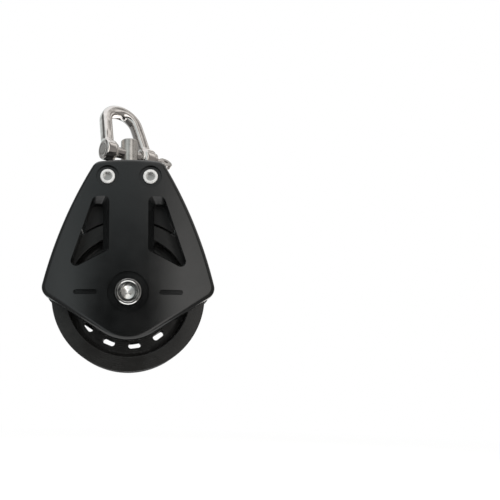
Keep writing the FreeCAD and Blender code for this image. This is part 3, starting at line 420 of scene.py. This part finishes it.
def forged(material, node, name, body, rounds):
    """Stand in for a node with a copy whose edges and joins are softened as forging does."""
    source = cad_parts[node]
    piece = bpy.data.objects.new(name, source.data.copy())
    bpy.context.scene.collection.objects.link(piece)
    piece.data.materials.clear()
    piece.data.materials.append(material)
    remesh = piece.modifiers.new("even_skin", "REMESH")
    remesh.mode = "VOXEL"
    remesh.voxel_size = FORGED_VOXEL
    remesh.use_smooth_shade = True
    soften = piece.modifiers.new("softened_edges", "SMOOTH")
    soften.factor = 0.5
    soften.iterations = rounds
    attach(piece, body)
    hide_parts(node)
    return piece


def settings(context):
    """The block's colours and finish."""
    return context.scene.block_colours, context.scene.block_finish


# ------------------------------------------------------------------ operators
class FinishCheeks(bpy.types.Operator):
    """Give the two cheeks their satin moulded nylon"""

    bl_idname = "sheave_block.finish_cheeks"
    bl_label = "Cheeks"

    def execute(self, context):
        colours, finish = settings(context)
        nylon = moulded_plastic("cheek_nylon", colours.cheek, finish.cheek_gloss, 0.48, finish,
                                crown=finish.cheek_crown)
        dress(nylon, "front_cheek", "back_cheek")
        return {"FINISHED"}


class FinishStraps(bpy.types.Operator):
    """Give the load straps and head sleeves their rolled stainless"""

    bl_idname = "sheave_block.finish_straps"
    bl_label = "Straps"

    def execute(self, context):
        colours, finish = settings(context)
        strip = rolled_steel("strap_stainless", colours.rolled, 0.30, finish)
        dress(strip, "front_strap", "back_strap", "head_sleeves")
        return {"FINISHED"}


class FinishHeadBlock(bpy.types.Operator):
    """Give the head block its moulded nylon"""

    bl_idname = "sheave_block.finish_head_block"
    bl_label = "Head Block"

    def execute(self, context):
        colours, finish = settings(context)
        nylon = moulded_plastic("head_nylon", colours.head, 0.48, 0.36, finish)
        dress(nylon, "head_block")
        return {"FINISHED"}


class FinishSheave(bpy.types.Operator):
    """Give the sheave and its ball covers their black acetal"""

    bl_idname = "sheave_block.finish_sheave"
    bl_label = "Sheave"

    def execute(self, context):
        colours, finish = settings(context)
        wheel = moulded_plastic("sheave_acetal", colours.sheave, 0.26, 0.36, finish, rings=0.25,
                                crown=finish.cheek_crown)
        dress(wheel, "sheave")
        cover = moulded_plastic("cover_acetal", colours.cover, 0.40, 0.38, finish)
        dress(cover, "front_ball_cover", "back_ball_cover")
        return {"FINISHED"}


class FinishBearing(bpy.types.Operator):
    """Give the balls, the inner race and the swivel's bush and washer their finishes"""

    bl_idname = "sheave_block.finish_bearing"
    bl_label = "Bearings"

    def execute(self, context):
        colours, finish = settings(context)
        dress(acetal("ball_acetal", colours.ball, 0.22, finish), "front_balls", "back_balls")
        dress(acetal("bush_acetal", colours.bush, 0.38, finish), "swivel_bush", "thrust_washer")
        dress(hard_anodised("race_alloy_anodised", colours.alloy, 0.42, finish), "inner_race")
        return {"FINISHED"}


class FinishScrews(bpy.types.Operator):
    """Give the head screws, their nuts and the cover screws their bright stainless"""

    bl_idname = "sheave_block.finish_screws"
    bl_label = "Screws"

    def execute(self, context):
        colours, finish = settings(context)
        low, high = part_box("head_screws")
        reach = (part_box("head_nuts")[1].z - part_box("head_nuts")[0].z) / 2
        steel = turned_steel("screw_stainless", colours.bright, 0.18, finish,
                             high.x - reach, (low.z + high.z) / 2, reach * SHADED_DISH_SHARE,
                             FLAT_FACE_METAL)
        dress(steel, "head_screws", "head_nuts")
        dress(satin_steel("cover_screw_stainless", colours.bright, 0.28, finish), "cover_screws")
        return {"FINISHED"}


class FinishAxle(bpy.types.Operator):
    """Give the axle's bolt, nut, sleeve and washers their turned stainless"""

    bl_idname = "sheave_block.finish_axle"
    bl_label = "Axle"

    def execute(self, context):
        colours, finish = settings(context)
        steel = turned_steel("axle_stainless", colours.bright, 0.17, finish)
        dress(steel, "axle_bolt", "axle_sleeve")
        nut = turned_steel("nut_stainless", colours.bright, 0.30, finish,
                           metal=FLAT_FACE_METAL)
        dress(nut, "axle_nut", "axle_washers")
        return {"FINISHED"}


class FinishSwivel(bpy.types.Operator):
    """Give the swivel post, its nut and its cross pin their satin stainless"""

    bl_idname = "sheave_block.finish_swivel"
    bl_label = "Swivel"

    def execute(self, context):
        colours, finish = settings(context)
        steel = satin_steel("post_stainless", colours.satin, 0.30, finish)
        dress(steel, "swivel_post", "post_nut", "post_nut_pin")
        return {"FINISHED"}


class FinishShackle(bpy.types.Operator):
    """Give the shackle's bow its polished stainless and the pin the same, darkened as painted
    shade
    """

    bl_idname = "sheave_block.finish_shackle"
    bl_label = "Shackle"

    def execute(self, context):
        colours, finish = settings(context)
        bow = polished_steel("bow_stainless", colours.polished, finish.steel_gloss)
        dress(bow, "shackle_bow")
        forged(bow, "shackle_bow", "forged_bow", "shackle", finish.forge_round)
        # Painted shade: the pin's steel is the bow's polished colour darkened to 0.78, and a
        # little rougher.
        pin = polished_steel("pin_stainless_painted_shade", shifted(colours.polished, 0.78),
                             finish.steel_gloss + 0.08)
        dress(pin, "shackle_pin")
        return {"FINISHED"}


class SetStage(bpy.types.Operator):
    """Set the camera, the lamps, the floor and the pale surroundings"""

    bl_idname = "sheave_block.set_stage"
    bl_label = "Stage"

    def execute(self, context):
        stage = context.scene.block_stage
        set_camera(context.scene, stage)
        set_world(context.scene, stage)
        set_lamps(context.scene, stage)
        set_floor(context.scene, stage)
        set_room(context.scene, stage)
        context.scene.view_settings.view_transform = "Standard"
        return {"FINISHED"}


# ------------------------------------------------------------------ stage
def set_camera(scene, stage):
    """A camera on its own line of sight through the sheave's centre."""
    camera = bpy.data.objects.new("camera", bpy.data.cameras.new("camera"))
    scene.collection.objects.link(camera)
    flat = math.cos(stage.elevation)
    back = Vector((math.sin(stage.azimuth) * flat, -math.cos(stage.azimuth) * flat,
                   math.sin(stage.elevation)))
    right = Vector((0, 0, 1)).cross(back).normalized()
    up = back.cross(right)
    tilted = right * math.cos(stage.roll) + up * math.sin(stage.roll)
    upright = back.cross(tilted)
    camera.matrix_world = Matrix.Translation(back * stage.distance) @ Matrix(
        (tilted, upright, back)).transposed().to_4x4()
    camera.data.sensor_width = 36
    camera.data.lens = stage.lens
    camera.data.shift_x, camera.data.shift_y = stage.shift
    camera.data.clip_start = 0.01
    camera.data.clip_end = 20
    scene.camera = camera


def set_world(scene, stage):
    """A white surround for the eye, reflections and glass, and a softer one as light."""
    world = bpy.data.worlds.new("surround")
    scene.world = world
    world.use_nodes = True
    tree = world.node_tree
    tree.nodes.clear()
    path = tree.nodes.new("ShaderNodeLightPath")
    seen = tree.nodes.new("ShaderNodeMath")
    seen.operation = "MAXIMUM"
    tree.links.new(path.outputs["Is Camera Ray"], seen.inputs[0])
    tree.links.new(path.outputs["Is Glossy Ray"], seen.inputs[1])
    through = tree.nodes.new("ShaderNodeMath")
    through.operation = "MAXIMUM"
    tree.links.new(seen.outputs[0], through.inputs[0])
    tree.links.new(path.outputs["Is Transmission Ray"], through.inputs[1])
    light = tree.nodes.new("ShaderNodeBackground")
    light.inputs["Color"].default_value = (1.0, 0.995, 0.985, 1)
    light.inputs["Strength"].default_value = stage.world_strength
    white = tree.nodes.new("ShaderNodeBackground")
    white.inputs["Color"].default_value = (1, 1, 1, 1)
    mix = tree.nodes.new("ShaderNodeMixShader")
    tree.links.new(through.outputs[0], mix.inputs["Fac"])
    tree.links.new(light.outputs[0], mix.inputs[1])
    tree.links.new(white.outputs[0], mix.inputs[2])
    output = tree.nodes.new("ShaderNodeOutputWorld")
    tree.links.new(mix.outputs[0], output.inputs["Surface"])


def add_lamp(scene, name, spot, aim, size, power, colour=(1, 1, 1)):
    """An area lamp at a spot, facing an aim, that reflections don't see."""
    lamp = bpy.data.lights.new(name, "AREA")
    lamp.shape = "RECTANGLE"
    lamp.size, lamp.size_y = size
    lamp.energy = power
    lamp.color = colour
    thing = bpy.data.objects.new(name, lamp)
    scene.collection.objects.link(thing)
    thing.location = spot
    thing.rotation_mode = "QUATERNION"
    thing.rotation_quaternion = (Vector(aim) - Vector(spot)).to_track_quat("-Z", "Y")
    thing.visible_glossy = False
    return thing


def set_lamps(scene, stage):
    """A key on the upper left, a strip on the left, a broad fill on the right and one behind."""
    aim = (0, 0, 0.02)
    add_lamp(scene, "key_lamp", (-0.35, -0.45, 0.50), aim, (0.30, 0.30), stage.key_power)
    add_lamp(scene, "strip_lamp", (-0.50, -0.16, -0.02), aim, (0.06, 0.50), stage.strip_power)
    add_lamp(scene, "fill_lamp", (0.50, -0.35, 0.10), aim, (0.40, 0.50), stage.fill_power,
             (1.0, 0.97, 0.93))
    add_lamp(scene, "back_lamp", (0.15, 0.50, 0.40), aim, (0.40, 0.30), stage.fill_power)


def room_mesh(reach, floor):
    """A dome that stands on a ring of floor, open over the top and under the block."""
    sides, rows = 72, 12
    lowest = math.asin(-floor / reach)
    levels = [(reach * ROOM_NEAR, -floor), (reach * ROOM_MIDDLE, -floor)]
    for row in range(rows + 1):
        rise = lowest + (ROOM_TOP - lowest) * row / rows
        levels.append((reach * math.cos(rise), reach * math.sin(rise)))
    spots = [(math.sin(k * math.tau / sides) * wide, math.cos(k * math.tau / sides) * wide, z)
             for wide, z in levels for k in range(sides)]
    faces = [(row * sides + k, row * sides + (k + 1) % sides,
              (row + 1) * sides + (k + 1) % sides, (row + 1) * sides + k)
             for row in range(len(levels) - 1) for k in range(sides)]
    mesh = bpy.data.meshes.new("room")
    mesh.from_pydata(spots, [], faces)
    return mesh


def band(graph, turn, levels):
    """A colour that changes with the turn round the block, from its left to its right side.

    Each level is a turn in degrees and a colour of up to 2, halved because a stop holds 1.
    """
    ramp = graph.add("ValToRGB", {"Fac": turn})
    stops = ramp.color_ramp.elements
    for place, (degrees, *colour) in enumerate(levels):
        spot = degrees / 180 + 0.5
        stop = stops[place] if place < 2 else stops.new(spot)
        stop.position = spot
        stop.color = (*(part / 2 for part in colour), 1)
    return ramp.outputs["Color"]


def set_room(scene, stage):
    """A room that only reflections see: dark ahead, paler to the left and palest to the right."""
    mesh = room_mesh(stage.room_radius, stage.floor_drop - MM)
    room = bpy.data.objects.new("room", mesh)
    scene.collection.objects.link(room)
    room.visible_camera = False
    room.visible_diffuse = False
    room.visible_transmission = False
    room.visible_volume_scatter = False
    room.visible_shadow = False
    graph = Graph("room_light")
    spot = graph.position()
    parts = graph.add("SeparateXYZ", {0: spot})
    depth = graph.maths("ABSOLUTE", parts.outputs["Y"])
    turn = graph.maths("ARCTAN2", parts.outputs["X"], depth)
    turn = graph.maths("ADD", graph.maths("MULTIPLY", turn, 1 / math.pi), 0.5)
    low = band(graph, turn, (
        (-90, 0.12, 0.12, 0.118), (-78, 0.05, 0.05, 0.05), (-74, 0.34, 0.34, 0.335),
        (-60, 0.36, 0.36, 0.355), (-54, 0.18, 0.185, 0.185), (-38, 0.52, 0.55, 0.55),
        (-24, 1.08, 1.16, 1.16), (-17, 0.62, 0.67, 0.67), (-13, 0.02, 0.02, 0.02),
        (-7, 0.00, 0.00, 0.00), (3, 0.00, 0.00, 0.00), (10, 0.01, 0.01, 0.01),
        (14, 0.90, 0.88, 0.85), (20, 2.00, 1.96, 1.90), (34, 1.60, 1.56, 1.50),
        (44, 0.26, 0.25, 0.24), (76, 0.26, 0.25, 0.24), (90, 0.14, 0.14, 0.135)))
    high = band(graph, turn, (
        (-90, 0.10, 0.10, 0.098), (-66, 0.18, 0.18, 0.177), (-45, 0.74, 0.78, 0.78),
        (-12, 0.68, 0.75, 0.755), (2, 0.66, 0.70, 0.705), (14, 0.84, 0.83, 0.81),
        (22, 1.30, 1.28, 1.24), (36, 0.50, 0.49, 0.47),
        (60, 0.14, 0.136, 0.13), (70, 1.00, 0.97, 0.94), (80, 0.80, 0.78, 0.75),
        (90, 0.16, 0.155, 0.15)))
    rise = graph.spread(parts.outputs["Z"], 0.0, 1.0, ROOM_LOW * stage.room_radius,
                        ROOM_HIGH * stage.room_radius)
    tint = graph.blend(rise, low, high)
    glow = graph.add("Emission", {"Color": tint, "Strength": 2.0 * stage.room_strength})
    mesh.materials.append(graph.finish(glow.outputs[0]))


def set_floor(scene, stage):
    """A broad pale floor that keeps the block's shadow and fades to white far away."""
    mesh = bpy.data.meshes.new("floor")
    corners = [(x * FLOOR_HALF, y * FLOOR_HALF, 0)
               for x, y in ((-1, -1), (1, -1), (1, 1), (-1, 1))]
    mesh.from_pydata(corners, [], [(0, 1, 2, 3)])
    floor = bpy.data.objects.new("floor", mesh)
    floor.location.z = -stage.floor_drop
    scene.collection.objects.link(floor)
    graph = Graph("floor_paper")
    spot = graph.position()
    tone = graph.spread(graph.noise(spot, 0.05, 3.0), 0.0, 1.0)
    tint = graph.blend(tone, (0.90, 0.90, 0.895, 1), (0.93, 0.93, 0.93, 1))
    matt = graph.add("BsdfDiffuse", {"Color": tint})
    path = graph.add("LightPath")
    seen = graph.maths("MAXIMUM", path.outputs["Is Camera Ray"], path.outputs["Is Glossy Ray"])
    seen = graph.maths("MAXIMUM", seen, path.outputs["Is Transmission Ray"])
    glow = graph.add("Emission", {"Color": (1, 1, 1, 1),
                                  "Strength": graph.maths("MULTIPLY", seen, stage.floor_glow)})
    near = graph.add("AddShader", {0: matt.outputs[0], 1: glow.outputs[0]})
    white = graph.add("Emission", {"Color": (1, 1, 1, 1), "Strength": 1.0})
    away = graph.add("VectorMath", {0: spot}, operation="LENGTH").outputs["Value"]
    away = graph.maths("MULTIPLY", graph.spread(away, 0.0, 1.0, 0.25, 1.1), seen)
    both = graph.add("MixShader", {0: away, 1: near.outputs[0], 2: white.outputs[0]})
    floor.data.materials.append(graph.finish(both.outputs[0]))


# ------------------------------------------------------------------ panel and registration
class SheaveBlockPanel(bpy.types.Panel):
    """The block's settings and the steps that finish it"""

    bl_idname = "VIEW3D_PT_sheave_block"
    bl_label = "Sheave Block"
    bl_space_type = "VIEW_3D"
    bl_region_type = "UI"
    bl_category = "Sheave Block"

    def draw(self, context):
        layout = self.layout
        for group in (context.scene.block_colours, context.scene.block_finish,
                      context.scene.block_stage):
            box = layout.box()
            for name in group.__annotations__:
                box.prop(group, name)
        for step in STEPS:
            layout.operator(step.bl_idname)


STEPS = (FinishCheeks, FinishStraps, FinishHeadBlock, FinishSheave, FinishBearing, FinishScrews,
         FinishAxle, FinishSwivel, FinishShackle, SetStage)
CLASSES = (BlockColours, BlockFinish, StageSettings, *STEPS, SheaveBlockPanel)


def register():
    """Register the classes and hang the settings on the scene."""
    for kind in CLASSES:
        bpy.utils.register_class(kind)
    bpy.types.Scene.block_colours = PointerProperty(type=BlockColours)
    bpy.types.Scene.block_finish = PointerProperty(type=BlockFinish)
    bpy.types.Scene.block_stage = PointerProperty(type=StageSettings)


def unregister():
    """Remove the settings and the classes."""
    del bpy.types.Scene.block_stage
    del bpy.types.Scene.block_finish
    del bpy.types.Scene.block_colours
    for kind in reversed(CLASSES):
        bpy.utils.unregister_class(kind)


def main():
    """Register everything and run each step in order."""
    register()
    bpy.ops.sheave_block.finish_cheeks()
    bpy.ops.sheave_block.finish_straps()
    bpy.ops.sheave_block.finish_head_block()
    bpy.ops.sheave_block.finish_sheave()
    bpy.ops.sheave_block.finish_bearing()
    bpy.ops.sheave_block.finish_screws()
    bpy.ops.sheave_block.finish_axle()
    bpy.ops.sheave_block.finish_swivel()
    bpy.ops.sheave_block.finish_shackle()
    bpy.ops.sheave_block.set_stage()


if __name__ == "__main__":
    main()
